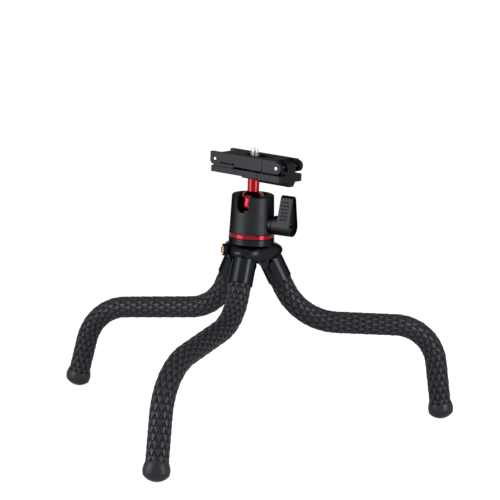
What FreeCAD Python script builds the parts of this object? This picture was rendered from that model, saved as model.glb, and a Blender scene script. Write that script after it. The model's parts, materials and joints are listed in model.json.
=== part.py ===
"""Flexible-leg camera tripod with a ball head and a fold-out phone clamp, standing on its three bent legs.

Millimetres, +Z up, floor at z = 0, origin under the middle of the whole tripod's footprint.
An azimuth is measured round the head's axis from the front (-Y) towards +X.
"""
import FreeCAD, Part
import math
import os

from FreeCAD import Vector

# hub and ring
RING_HEIGHT = 150.0
RING_R = 17.7
RING_THICK = 3.4
TURN_GAP = 0.3
NECK_DROP = 5.0
NECK_INSET = 0.5
SHOULDER_DROP = 9.6
LOBE_MEAN_R = 22.1
LOBE_WAVE = 2.5
SKIRT_DROP = 15.5
SKIRT_MEAN_R = 20.3
SKIRT_WAVE = 1.2
LOBE_POINTS = 24
STUD_R = 3.175
STUD_HEAD_R = 4.8
STUD_HEAD_LEN = 4.0
STUD_HEAD_DROP = 11.0
STUD_RISE = 5.4
STUD_SOCKET_R = 2.2
RUNNING = 0.05

# threaded insert on the hub's side
INSERT_AZ = -78.0
INSERT_DROP = 12.3
INSERT_BOSS_R = 4.7
INSERT_BOSS_END = 22.4
INSERT_R = 3.8
INSERT_INNER = 15.5
INSERT_PROUD = 0.7
TAP_R = 2.6

# leg roots and cuffs
LEG_AZ = {"left": -138.0, "middle": -18.0, "right": 102.0}
SPLAY = 27.5
SPLAY_MORE = 6.0
PIN_REACH = 9.8
PIN_DROP = 23.0
PIN_R = 1.5
PIN_HEAD_R = 2.2
PIN_HEAD = 0.5
CUFF_R = 9.45
CUFF_OFFSET = 6.6
CUFF_TOP = 3.6
CUFF_BOTTOM = 18.0
CUFF_SOCKET = 12.0
CUFF_EDGE = 0.5
TONGUE_HALF = 3.7
EAR_GAP = 0.3
EAR_THICK = 3.0
EAR_R = 3.2
SWING_GAP = 0.35

# leg sleeve, core wire and foot
SLEEVE_R = 8.5
CORE_R = 3.0
LEG_LENGTH = 224.0
FOOT_R = 10.15
FOOT_LIP_R = 8.9
FOOT_HEIGHT = 13.4
FOOT_WIDEST = 7.6
FOOT_CORNER_R = 9.6
FOOT_DOME_R = 12.3
FOOT_FLOOR = 6.5
CORE_END_GAP = 2.0

# each leg's course: straight length, bend radius, straight length, bend radius, then down to the foot
LEFT_FIRST = 29.0
LEFT_UPPER_BEND_R = 42.0
LEFT_RUN = 61.0
LEFT_LOWER_BEND_R = 44.0
MIDDLE_FIRST = 27.0
MIDDLE_UPPER_BEND_R = 40.0
MIDDLE_RUN = 50.0
MIDDLE_LOWER_BEND_R = 62.0
RIGHT_FIRST = 26.0
RIGHT_UPPER_BEND_R = 52.0
RIGHT_RUN = 47.0
RIGHT_LOWER_BEND_R = 37.0
COURSE = {
    "left": dict(first=LEFT_FIRST, bend1=LEFT_UPPER_BEND_R, run=LEFT_RUN, bend2=LEFT_LOWER_BEND_R),
    "middle": dict(first=MIDDLE_FIRST, bend1=MIDDLE_UPPER_BEND_R, run=MIDDLE_RUN, bend2=MIDDLE_LOWER_BEND_R),
    "right": dict(first=RIGHT_FIRST, bend1=RIGHT_UPPER_BEND_R, run=RIGHT_RUN, bend2=RIGHT_LOWER_BEND_R),
}
RUN_AZ = {"left": -117.0, "middle": -27.0, "right": 100.0}
FOOT_AZ = {"left": -121.0, "middle": -4.0, "right": 100.0}
FOOT_TILT = {"left": 14.0, "middle": 27.0, "right": 9.0}

# ball head
HOUSING_HEIGHT = 29.5
HOUSING_BOTTOM_R = 17.4
HOUSING_TOP_R = 16.3
HOUSING_EDGE = 0.3
RIM_BEVEL = 0.8
MOUTH_R = 11.1
MOUTH_BEVEL = 1.45
SPIGOT_R = 13.8
SPIGOT_HEIGHT = 4.45
BALL_R = 11.0
BALL_BELOW_RIM = 7.45
BALL_FIT = 0.06
NECK_R = 4.55
NECK_TOP = 21.0
STEM_STUD = 3.8
NOTCH_AZ = -28.0
NOTCH_HALF = 5.15
SEAT_HOLE_R = 4.2
SEAT_WALL = 1.0
SEAT_RISE = 6.0
KNOB_AZ = 62.0
KNOB_RISE = 9.3
BOSS_R = 6.2
BOSS_END = 18.9
SCREW_R = 2.45
WEDGE_R = 3.0
WEDGE_INNER = -3.0
WEDGE_OUTER = 6.6

# lock knob
KNOB_INNER = 20.2
KNOB_DEPTH = 15.7
KNOB_HUB_R = 7.4
KNOB_TIP = 24.0
KNOB_TIP_R = 3.2
PADDLE_SETBACK = 4.4
PADDLE_TAPER = 1.0
KNOB_EDGE = 0.7
KNOB_POCKET = 1.6
KNOB_POCKET_EDGE = 1.5
KNOB_RIBS = 6
KNOB_RIB_R = 0.65
KNOB_RIB_START = 6.2
KNOB_RIB_PITCH = 2.6
KNOB_RIB_INSET = 7.0
KNOB_RIB_SETBACK = 2.6
SCREW_HEAD_R = 3.4
SCREW_HEAD = 2.4
SCREW_SINK = 0.5
SCREW_SOCKET_R = 1.7

# clamp unit: u runs along it, heights count from the underside of its two bars
CLAMP_AZ = 50.0
CLAMP_RISE = 22.5
CLAMP_HALF = 13.5
CLAMP_LEFT = -33.2
CLAMP_RIGHT = 37.1
BAR_HEIGHT = 4.5
BAR_GAP = 1.7
ARM_TOP = 15.5
SLIDER_END = 13.9
SLIDE_GAP = 0.3
STEM_BORE_TOP = 2.6
BASE_LEFT = -7.0
BASE_SETBACK = 0.9
BASE_CORNER = 6.0
BASE_THICK = 1.2
BASE_EDGE = 0.6
BASE_CHAMFER = 1.4
KEEL_START = 8.0
KEEL_DEPTH = 4.5
KEEL_HALF = 2.6
KEEL_ROOT_HALF = 5.0
SPINE_HALF = 4.1
SPINE_TOP = 6.9
BLOCK_GAP = 0.5
BLOCK_TOP = 11.6
BASE_BLOCK_END = 28.0
SLIDER_BLOCK_START = -22.4
SLIDER_BLOCK_END = -11.0
ARM_BAR = 3.6
ARM_SPLIT = 18.7
ARM_SPLIT_GAP = 0.4
ARM_PLATE = 2.2
ARM_PLATE_SETBACK = 5.2
ARM_WINDOW_R = 6.5
ARM_PIN_R = 1.05
ARM_PIN_RISE = 10.3
LONG_PIN_U = -28.3
SHORT_PIN_U = 32.7
LUG_HALF = 4.7
LUG_R = 4.3
PAD_THICK = 1.2
PAD_INSET = 1.1
PAD_MARGIN = 1.3
ARM_END_CHAMFER = 1.7
SLIT_START = -21.6
SLIT_END = -9.6
TAB_START = -26.4
SLIT_RISE = 7.8
SLIT_HALF = 0.45
ROD_R = 1.0
ROD_SIDE = 9.0
ROD_RISE = 2.3
ROD_LEFT = -24.0
ROD_RIGHT = 30.0
ROD_HEAD_R = 1.55
ROD_HEAD = 1.0
SPRING_BORE_R = 1.75
SPRING_R = 1.65
SPRING_HOLE_R = 1.15
SPRING_END_GAP = 0.1
GUIDE_LEN = 4.0
BORE_SPARE = 3.0

# camera screw
THREAD_R = 3.175
THREAD_LEN = 4.8
THREAD_TIP = 0.4
SHANK_R = 2.9
WHEEL_R = 9.2
WHEEL_THICK = 3.0
WHEEL_GAP = 0.3
WHEEL_FLUTES = 24
WHEEL_FLUTE_R = 0.5
CLIP_R = 4.0
CLIP_THICK = 0.6
CLIP_GAP = 0.2
CLIP_GROOVE_R = 2.4
CLIP_RISE = 4.9
SHANK_END = 4.2

BIG = 60.0
UP = Vector(0, 0, 1)
BASE_HALF = CLAMP_HALF - BASE_SETBACK
ARM_INNER = CLAMP_HALF - ARM_BAR
BLOCK_HALF = ARM_INNER - BLOCK_GAP
PAD_HALF = ARM_INNER - PAD_INSET
SPLIT_START = BAR_HEIGHT + BAR_GAP
LUG_FLOOR = BAR_HEIGHT
BALL_Z = RING_HEIGHT + RING_THICK / 2 + HOUSING_HEIGHT - BALL_BELOW_RIM
CLAMP_Z = BALL_Z + CLAMP_RISE
HUB_TOP = RING_HEIGHT - RING_THICK / 2 - TURN_GAP
PIN_Z = RING_HEIGHT - PIN_DROP
CAMERA_FACE = CLAMP_Z + ARM_TOP

NODES = {}


def node(name, *solids):
    """Keep the solids of one sub-part under its name."""
    NODES[name] = list(solids)


def cylinder(radius, start, end, axis="z"):
    """A round bar centred on a local axis, from one station to another."""
    directions = {"x": Vector(1, 0, 0), "y": Vector(0, 1, 0), "z": UP}
    way = directions[axis]
    return Part.makeCylinder(radius, end - start, way * start, way)


def block(x0, x1, y0, y1, z0, z1):
    return Part.makeBox(x1 - x0, y1 - y0, z1 - z0, Vector(x0, y0, z0))


def moved(shape, x=0.0, y=0.0, z=0.0):
    shape = shape.copy()
    shape.translate(Vector(x, y, z))
    return shape


def turned(shape, centre, axis, degrees):
    shape = shape.copy()
    shape.rotate(centre, axis, degrees)
    return shape


def round_body(points):
    """Turn a profile of (radius, height) points, with 3-point arcs where a pair of points is given, about Z."""
    edges = []
    last = Vector(points[0][0], 0, points[0][1])
    first = last
    for step in points[1:]:
        if len(step) == 4:
            middle = Vector(step[0], 0, step[1])
            end = Vector(step[2], 0, step[3])
            edges.append(Part.Arc(last, middle, end).toShape())
        else:
            end = Vector(step[0], 0, step[1])
            edges.append(Part.LineSegment(last, end).toShape())
        last = end
    if last.sub(first).Length > 1e-6:
        edges.append(Part.LineSegment(last, first).toShape())
    return Part.Face(Part.Wire(edges)).revolve(Vector(0, 0, 0), UP, 360)


def radial(azimuth):
    """Unit vector from the head's axis out to an azimuth."""
    a = math.radians(azimuth)
    return Vector(math.sin(a), -math.cos(a), 0)


def set_at(shape, azimuth, height=0.0):
    """Turn a piece drawn along local +X out to its azimuth, and lift it."""
    return moved(turned(shape, Vector(0, 0, 0), UP, azimuth - 90), z=height)


def heading(azimuth, tilt):
    """Direction that leans from straight down towards an azimuth."""
    t = math.radians(tilt)
    return radial(azimuth) * math.sin(t) - UP * math.cos(t)


# legs: course


def cuff_point():
    """Radius and drop of the cuff's axis beside its pin."""
    s = math.radians(SPLAY)
    return PIN_REACH + CUFF_OFFSET * math.cos(s), PIN_DROP - CUFF_OFFSET * math.sin(s)


def leg_course(side, run_tilt):
    """Straight and bent stretches of one leg's centre line for a trial lean of its middle run."""
    c = COURSE[side]
    reach, drop = cuff_point()
    start = radial(LEG_AZ[side]) * reach + UP * (RING_HEIGHT - drop)
    ways = [
        heading(LEG_AZ[side], SPLAY), heading(RUN_AZ[side], run_tilt), heading(FOOT_AZ[side], FOOT_TILT[side]),
    ]
    bends = []
    place = start + ways[0] * c["first"]
    used = c["first"]
    for k, (radius, straight) in enumerate(((c["bend1"], c["run"]), (c["bend2"], None))):
        turn = ways[k].getAngle(ways[k + 1])
        axis = ways[k].cross(ways[k + 1]).normalize()
        centre = place + axis.cross(ways[k]) * radius
        corner = place + ways[k] * radius * math.tan(turn / 2)
        after = corner + ways[k + 1] * radius * math.tan(turn / 2)
        # the hinge that keeps the leg's length when this bend is straightened
        inset = radius * (1 - turn / 2 / math.tan(turn / 2))
        hinge = corner + (centre - corner).normalize() * (inset / math.cos(turn / 2))
        bends.append(dict(start=place, end=after, centre=centre, axis=axis, turn=turn, radius=radius, hinge=hinge))
        used += radius * turn
        length = straight if straight else LEG_LENGTH - used
        used += length
        place = after + ways[k + 1] * length
    return dict(start=start, ways=ways, bends=bends, foot=place, last=length)


def standing_course(side):
    """Lean the middle run until the dome of the foot rests on the floor."""
    low, high = 20.0, 140.0
    for _ in range(60):
        middle = (low + high) / 2
        course = leg_course(side, middle)
        dome = course["foot"] - course["ways"][2] * FOOT_DOME_R
        if dome.z > FOOT_DOME_R:
            high = middle
        else:
            low = middle
    return course


COURSES = {side: standing_course(side) for side in LEG_AZ}


# hub


def lobed_wire(mean, wave, height):
    """Closed smooth outline with one lobe over each leg."""
    lobe = LEG_AZ["right"]
    points = []
    for k in range(LOBE_POINTS):
        azimuth = lobe + 360.0 * k / LOBE_POINTS
        r = mean + wave * math.cos(math.radians(3 * (azimuth - lobe)))
        points.append(radial(azimuth) * r + UP * height)
    curve = Part.BSplineCurve()
    curve.interpolate(points, PeriodicFlag=True)
    return Part.Wire(curve.toShape())


def in_leg_plane(shape, side):
    """Place a piece drawn about its leg pin: +X outward, +Y along the pin, +Z up."""
    return set_at(moved(shape, x=PIN_REACH), LEG_AZ[side], PIN_Z)


def splayed(shape):
    """Lean a piece drawn on a closed leg out to the open position."""
    return turned(shape, Vector(0, 0, 0), Vector(0, 1, 0), -SPLAY)


def swing_space():
    """Room that a leg's cuff sweeps from closed to widest, about its pin."""
    width = CUFF_R + SWING_GAP
    reach = math.hypot(CUFF_OFFSET + CUFF_R, CUFF_TOP) + SWING_GAP
    core = reach - width
    edges = [
        Part.Arc(Vector(0, -width, core), Vector(0, 0, reach), Vector(0, width, core)).toShape(),
        Part.LineSegment(Vector(0, width, core), Vector(0, width, 0)).toShape(),
        Part.LineSegment(Vector(0, width, 0), Vector(0, -width, 0)).toShape(),
        Part.LineSegment(Vector(0, -width, 0), Vector(0, -width, core)).toShape(),
    ]
    barrel = Part.Face(Part.Wire(edges)).revolve(Vector(0, 0, 0), Vector(0, 1, 0), 360)
    under = block(-BIG, BIG, -BIG, BIG, -BIG, CUFF_TOP + SWING_GAP)
    under = turned(under, Vector(0, 0, 0), Vector(0, 1, 0), -(SPLAY + SPLAY_MORE))
    return barrel.common(under)


def pin_ears():
    """The two straps that hang from the hub and hold one leg pin."""
    ears = []
    for side in (-1, 1):
        inner = TONGUE_HALF + EAR_GAP
        y0, y1 = sorted((side * inner, side * (inner + EAR_THICK)))
        strap = block(-EAR_R, EAR_R, y0, y1, 0, PIN_DROP - SKIRT_DROP)
        ears.append(strap.fuse(cylinder(EAR_R, y0, y1, "y")))
    return ears[0].fuse(ears[1])


def pin_with_heads():
    """A leg pin, with a low round head against each ear."""
    half = TONGUE_HALF + EAR_GAP + EAR_THICK
    pin = cylinder(PIN_R, -half, half, "y")
    for y0 in (-half - PIN_HEAD, half):
        pin = pin.fuse(cylinder(PIN_HEAD_R, y0, y0 + PIN_HEAD, "y"))
    return pin.removeSplitter()


def make_hub():
    shoulder = RING_HEIGHT - RING_THICK / 2 - SHOULDER_DROP
    skirt = RING_HEIGHT - RING_THICK / 2 - SKIRT_DROP
    neck_end = RING_HEIGHT - RING_THICK / 2 - NECK_DROP
    neck = cylinder(RING_R, shoulder, HUB_TOP)
    top_wire = lobed_wire(RING_R - NECK_INSET, 0, neck_end + NECK_INSET)
    wires = [top_wire, lobed_wire(LOBE_MEAN_R, LOBE_WAVE, shoulder), lobed_wire(SKIRT_MEAN_R, SKIRT_WAVE, skirt)]
    hub = Part.makeLoft(wires, True, False).fuse(neck)
    core = round_body([
        (0, PIN_Z), (PIN_REACH - EAR_R, PIN_Z), (SKIRT_MEAN_R - SKIRT_WAVE * 2, skirt), (0, skirt),
    ])
    hub = hub.fuse(core)
    boss = set_at(cylinder(INSERT_BOSS_R, RING_R, INSERT_BOSS_END, "x"), INSERT_AZ, RING_HEIGHT - INSERT_DROP)
    hub = hub.fuse(boss)
    for side in LEG_AZ:
        hub = hub.cut(in_leg_plane(swing_space(), side))
    for side in LEG_AZ:
        hub = hub.fuse(in_leg_plane(pin_ears(), side))
    for side in LEG_AZ:
        hub = hub.cut(in_leg_plane(cylinder(PIN_R, -BIG / 4, BIG / 4, "y"), side))
    seat = RING_HEIGHT - STUD_HEAD_DROP
    hub = hub.cut(cylinder(STUD_R, seat - STUD_R, HUB_TOP + STUD_R))
    hub = hub.cut(cylinder(STUD_HEAD_R + SWING_GAP, PIN_Z - BIG / 4, seat))
    insert = cylinder(INSERT_R, INSERT_INNER, BIG, "x")
    hub = hub.cut(set_at(insert, INSERT_AZ, RING_HEIGHT - INSERT_DROP))
    node("hub_body", hub.removeSplitter())
    node("leg_pins", *[in_leg_plane(pin_with_heads(), side) for side in LEG_AZ])


def make_hub_fittings():
    seat = RING_HEIGHT - STUD_HEAD_DROP
    stud = cylinder(STUD_R, seat, RING_HEIGHT + STUD_RISE)
    stud = stud.fuse(cylinder(STUD_HEAD_R, seat - STUD_HEAD_LEN, seat))
    socket = Part.Face(Part.makePolygon(hexagon(STUD_SOCKET_R, seat - STUD_HEAD_LEN)))
    node("head_stud", stud.cut(socket.extrude(UP * (STUD_HEAD_LEN * 0.6))).removeSplitter())
    end = INSERT_BOSS_END + INSERT_PROUD
    insert = cylinder(INSERT_R, INSERT_INNER, end, "x").cut(cylinder(TAP_R, INSERT_INNER + 1, BIG, "x"))
    node("side_insert", set_at(insert, INSERT_AZ, RING_HEIGHT - INSERT_DROP))


def hexagon(flat_r, height):
    """Corner points of a hexagon about Z, closed."""
    corner = flat_r / math.cos(math.radians(30))
    angles = [math.radians(60 * k) for k in range(7)]
    return [Vector(corner * math.cos(a), corner * math.sin(a), height) for a in angles]


# leg pieces


def straight_bar(start, way, length, radius, bore=0.0):
    bar = Part.makeCylinder(radius, length, start, way)
    return bar.cut(Part.makeCylinder(bore, length, start, way)) if bore else bar


def bent_bar(bend, way, radius, bore=0.0):
    """Round bar or sleeve along one bend of a leg."""
    face = Part.Face(Part.Wire(Part.makeCircle(radius, bend["start"], way)))
    if bore:
        face = face.cut(Part.Face(Part.Wire(Part.makeCircle(bore, bend["start"], way)))).Faces[0]
    return face.revolve(bend["centre"], bend["axis"], math.degrees(bend["turn"]))


def make_cuff():
    """Hard cuff of one leg, drawn closed about its pin, with the tongue that the pin passes."""
    cuff = cylinder(CUFF_R, -CUFF_BOTTOM, CUFF_TOP)
    cuff = cuff.makeChamfer(CUFF_EDGE, [e for e in cuff.Edges if len(e.Vertexes) == 1])
    cuff = moved(cuff, x=CUFF_OFFSET)
    lean = math.radians(90 - SPLAY - SPLAY_MORE)
    clear = EAR_R + SWING_GAP
    shelf = CUFF_TOP / math.tan(lean) + clear / math.sin(lean)
    for side in (-1, 1):
        y0, y1 = sorted((side * TONGUE_HALF, side * BIG))
        cuff = cuff.cut(block(-BIG, shelf, y0, y1, 0, BIG))
        cuff = cuff.cut(cylinder(clear, y0, y1, "y"))
        ear = block(-BIG, clear, y0, y1, 0, BIG)
        cuff = cuff.cut(turned(ear, Vector(0, 0, 0), Vector(0, 1, 0), SPLAY + SPLAY_MORE))
    corner = block(-BIG, 0, -TONGUE_HALF, TONGUE_HALF, 0, BIG)
    cuff = cuff.cut(corner.cut(cylinder(CUFF_TOP, -TONGUE_HALF, TONGUE_HALF, "y")))
    cuff = cuff.cut(cylinder(PIN_R + RUNNING, -BIG, BIG, "y"))
    cuff = cuff.cut(moved(cylinder(SLEEVE_R, -BIG, -CUFF_BOTTOM + CUFF_SOCKET), x=CUFF_OFFSET))
    return cuff.cut(moved(cylinder(CORE_R, -BIG, 0), x=CUFF_OFFSET))


def make_foot():
    """Rubber cap of a leg, drawn upright on its dome."""
    corner = FOOT_DOME_R - math.sqrt(FOOT_DOME_R ** 2 - FOOT_CORNER_R ** 2)
    half = math.asin(FOOT_CORNER_R / FOOT_DOME_R) / 2
    dome = (FOOT_DOME_R * math.sin(half), FOOT_DOME_R * (1 - math.cos(half)), FOOT_CORNER_R, corner)
    shoulder = (FOOT_R * 0.45 + FOOT_LIP_R * 0.55 + 0.35, (FOOT_WIDEST + FOOT_HEIGHT) / 2)
    return round_body([
        (0, 0), dome, (FOOT_R, FOOT_WIDEST), (*shoulder, FOOT_LIP_R, FOOT_HEIGHT),
        (SLEEVE_R, FOOT_HEIGHT), (SLEEVE_R, FOOT_FLOOR), (0, FOOT_FLOOR),
    ])


def make_leg(side):
    course = COURSES[side]
    first, second = course["bends"]
    ways = course["ways"]
    cuff = in_leg_plane(splayed(make_cuff()), side)
    node(f"leg_{side}_cuff", cuff)
    inside = CUFF_BOTTOM - CUFF_SOCKET
    top = course["start"] + ways[0] * inside
    free = COURSE[side]["first"] - inside
    node(f"leg_{side}_upper_sleeve", straight_bar(top, ways[0], free, SLEEVE_R, CORE_R))
    node(f"leg_{side}_upper_core", straight_bar(course["start"], ways[0], COURSE[side]["first"], CORE_R))
    sleeves = [bent_bar(first, ways[0], SLEEVE_R, CORE_R), bent_bar(second, ways[1], SLEEVE_R, CORE_R)]
    node(f"leg_{side}_bend_sleeves", *sleeves)
    run = COURSE[side]["run"]
    node(f"leg_{side}_middle_sleeve", straight_bar(first["end"], ways[1], run, SLEEVE_R, CORE_R))
    wire = bent_bar(first, ways[0], CORE_R)
    wire = wire.fuse(straight_bar(first["end"], ways[1], run, CORE_R))
    node(f"leg_{side}_middle_core", wire.fuse(bent_bar(second, ways[1], CORE_R)))
    last = course["last"] - FOOT_FLOOR
    node(f"leg_{side}_lower_sleeve", straight_bar(second["end"], ways[2], last, SLEEVE_R, CORE_R))
    core = straight_bar(second["end"], ways[2], last - CORE_END_GAP, CORE_R)
    node(f"leg_{side}_lower_core", core)
    foot = make_foot()
    foot.Placement = FreeCAD.Placement(course["foot"], FreeCAD.Rotation(UP, ways[2] * -1))
    node(f"leg_{side}_foot", foot)


# ball head


def make_head_base():
    half = RING_THICK / 2
    ring = round_body([
        (STUD_R + RUNNING, -half), (RING_R - HOUSING_EDGE, -half), (RING_R, -half + HOUSING_EDGE),
        (RING_R, half - HOUSING_EDGE), (RING_R - HOUSING_EDGE, half), (SPIGOT_R, half),
        (SPIGOT_R, half + SPIGOT_HEIGHT), (STUD_R + RUNNING, half + SPIGOT_HEIGHT),
    ])
    node("head_base_ring", moved(ring, z=RING_HEIGHT))


def make_housing():
    """Cup that holds the ball from above by a spherical lip, with its drop notch and knob boss."""
    bottom = RING_HEIGHT + RING_THICK / 2
    top = bottom + HOUSING_HEIGHT
    socket_r = BALL_R + BALL_FIT
    lip = top - MOUTH_BEVEL - BALL_Z
    lip_r = math.sqrt(socket_r ** 2 - lip ** 2)
    half = math.asin(lip / socket_r) / 2
    arc = (socket_r * math.cos(half), BALL_Z + socket_r * math.sin(half), socket_r, BALL_Z)
    body = round_body([
        (SPIGOT_R, bottom), (HOUSING_BOTTOM_R - HOUSING_EDGE, bottom), (HOUSING_BOTTOM_R, bottom + HOUSING_EDGE),
        (HOUSING_TOP_R, top - RIM_BEVEL), (HOUSING_TOP_R - RIM_BEVEL, top), (MOUTH_R, top),
        (lip_r, BALL_Z + lip), arc, (socket_r, bottom + SPIGOT_HEIGHT), (SPIGOT_R, bottom + SPIGOT_HEIGHT),
    ])
    knob_z = RING_HEIGHT + KNOB_RISE
    body = body.fuse(set_at(cylinder(BOSS_R, (BALL_R + HOUSING_TOP_R) / 2, BOSS_END, "x"), KNOB_AZ, knob_z))
    notch = block(0, BIG, -NOTCH_HALF, NOTCH_HALF, 0, BIG).fuse(cylinder(NOTCH_HALF, 0, BIG, "x"))
    body = body.cut(set_at(notch, NOTCH_AZ, BALL_Z))
    body = body.cut(set_at(cylinder(SCREW_R + RUNNING, 0, BIG, "x"), KNOB_AZ, knob_z))
    node("head_housing", body.removeSplitter())


def make_ball_lock():
    """Seat under the ball and the wedge that the knob's screw drives against it."""
    cup_r = BALL_R + BALL_FIT
    seat_top = BALL_Z - BALL_R + SEAT_RISE
    low = BALL_Z - math.sqrt(cup_r ** 2 - SEAT_HOLE_R ** 2)
    floor = low - SEAT_WALL
    rim_r = math.sqrt(cup_r ** 2 - (BALL_Z - seat_top) ** 2)
    middle_r = (rim_r + SEAT_HOLE_R) / 2
    middle = BALL_Z - math.sqrt(cup_r ** 2 - middle_r ** 2)
    seat = round_body([
        (SEAT_HOLE_R, floor), (cup_r, floor), (cup_r, seat_top), (rim_r, seat_top),
        (middle_r, middle, SEAT_HOLE_R, low),
    ])
    node("ball_seat", seat)
    wedge = cylinder(WEDGE_R, WEDGE_INNER, WEDGE_OUTER, "x")
    slope = block(-BIG, 0, -BIG, BIG, 0, BIG)
    slope = turned(slope, Vector(0, 0, 0), Vector(0, 1, 0), 30)
    wedge = wedge.cut(moved(slope, x=WEDGE_INNER + WEDGE_R, z=WEDGE_R / 2))
    node("lock_wedge", set_at(wedge, KNOB_AZ, RING_HEIGHT + KNOB_RISE))


def make_ball():
    ball = Part.makeSphere(BALL_R, Vector(0, 0, BALL_Z))
    neck = cylinder(NECK_R, BALL_Z, BALL_Z + NECK_TOP)
    stud = cylinder(STUD_R - RUNNING, BALL_Z, BALL_Z + NECK_TOP + STEM_STUD)
    node("ball_stem", ball.fuse([neck, stud]).removeSplitter())


def paddle_outline(shrink):
    """Drop-shaped side of the knob: a hub circle drawn out to a small tip, local +Z up."""
    hub_r, tip_r = KNOB_HUB_R - shrink, KNOB_TIP_R - shrink
    tip_z = KNOB_TIP - KNOB_TIP_R
    lean = math.asin((hub_r - tip_r) / tip_z)
    c, s = math.cos(lean), math.sin(lean)
    hub_r_y, hub_r_z = hub_r * c, hub_r * s
    tip_y, tip_end = tip_r * c, tip_z + tip_r * s
    edges = [
        Part.Arc(Vector(0, hub_r_y, hub_r_z), Vector(0, 0, -hub_r), Vector(0, -hub_r_y, hub_r_z)).toShape(),
        Part.LineSegment(Vector(0, -hub_r_y, hub_r_z), Vector(0, -tip_y, tip_end)).toShape(),
        Part.Arc(Vector(0, -tip_y, tip_end), Vector(0, 0, tip_z + tip_r), Vector(0, tip_y, tip_end)).toShape(),
        Part.LineSegment(Vector(0, tip_y, tip_end), Vector(0, hub_r_y, hub_r_z)).toShape(),
    ]
    return Part.Face(Part.Wire(edges))


def make_knob():
    """Lock knob: a round hub with a finger paddle, ribbed along both edges, drawn about its screw along local +X."""
    outer = KNOB_INNER + KNOB_DEPTH
    inner = KNOB_INNER + PADDLE_SETBACK
    paddle = moved(paddle_outline(0).extrude(Vector(outer - inner, 0, 0)), x=inner)
    wedge = block(-BIG, 0, -BIG, BIG, 0, BIG)
    wedge = turned(wedge, Vector(0, 0, 0), Vector(0, 1, 0), math.degrees(math.atan2(PADDLE_TAPER, KNOB_TIP)))
    paddle = paddle.cut(moved(wedge, x=inner))
    knob = paddle.fuse(cylinder(KNOB_HUB_R, KNOB_INNER, outer, "x")).removeSplitter()
    knob = knob.makeFillet(KNOB_EDGE, [e for e in knob.Edges if all(abs(v.X - outer) < 1e-6 for v in e.Vertexes)])
    lean = math.asin((KNOB_HUB_R - KNOB_TIP_R) / (KNOB_TIP - KNOB_TIP_R))
    for k in range(KNOB_RIBS):
        z = KNOB_RIB_START + k * KNOB_RIB_PITCH
        y = (KNOB_HUB_R - z * math.sin(lean)) / math.cos(lean)
        for side in (-1, 1):
            groove = cylinder(KNOB_RIB_R, KNOB_INNER + KNOB_RIB_INSET, outer - KNOB_RIB_SETBACK, "x")
            knob = knob.cut(moved(groove, y=side * (y + KNOB_RIB_R * 0.2), z=z))
    knob = knob.cut(moved(paddle_outline(KNOB_POCKET_EDGE).extrude(Vector(BIG, 0, 0)), x=outer - KNOB_POCKET))
    collar = cylinder(BOSS_R - KNOB_EDGE, BOSS_END + SWING_GAP, KNOB_INNER + KNOB_EDGE, "x")
    knob = knob.fuse(collar)
    head_top = outer - KNOB_POCKET - SCREW_SINK
    head = head_top - SCREW_HEAD
    knob = knob.cut(cylinder(SCREW_R, 0, BIG, "x")).cut(cylinder(SCREW_HEAD_R, head, BIG, "x"))
    place = RING_HEIGHT + KNOB_RISE
    node("lock_knob", set_at(knob.removeSplitter(), KNOB_AZ, place))
    screw = cylinder(SCREW_R, WEDGE_OUTER + SWING_GAP, head + SCREW_SINK, "x")
    screw = screw.fuse(cylinder(SCREW_HEAD_R, head, head_top, "x"))
    socket = Part.Face(Part.makePolygon(hexagon(SCREW_SOCKET_R, 0))).extrude(UP * BIG)
    socket = turned(socket, Vector(0, 0, 0), Vector(0, 1, 0), 90)
    screw = screw.cut(moved(socket, x=head_top - SCREW_HEAD * 0.6))
    node("lock_screw", set_at(screw.removeSplitter(), KNOB_AZ, place))


# clamp unit, drawn with u along local +X and its front along local -Y


def clamp_place(shape):
    return set_at(shape, CLAMP_AZ, CLAMP_Z)


def both_sides(y0, y1, x0, x1, z0, z1):
    """The same block on the front and on the back."""
    return block(x0, x1, y0, y1, z0, z1).fuse(block(x0, x1, -y1, -y0, z0, z1))


def pin_lug(pin_u, foot_u):
    """Centre lug, rounded about its arm's pin, standing on a bar."""
    x0, x1 = sorted((pin_u + math.copysign(LUG_R, pin_u), foot_u))
    lug = block(x0, x1, -LUG_HALF, LUG_HALF, LUG_FLOOR - 1, ARM_PIN_RISE)
    lug = lug.fuse(moved(cylinder(LUG_R, -LUG_HALF, LUG_HALF, "y"), x=pin_u, z=ARM_PIN_RISE))
    return lug.cut(moved(cylinder(ARM_PIN_R, -BIG, BIG, "y"), x=pin_u, z=ARM_PIN_RISE))


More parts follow.
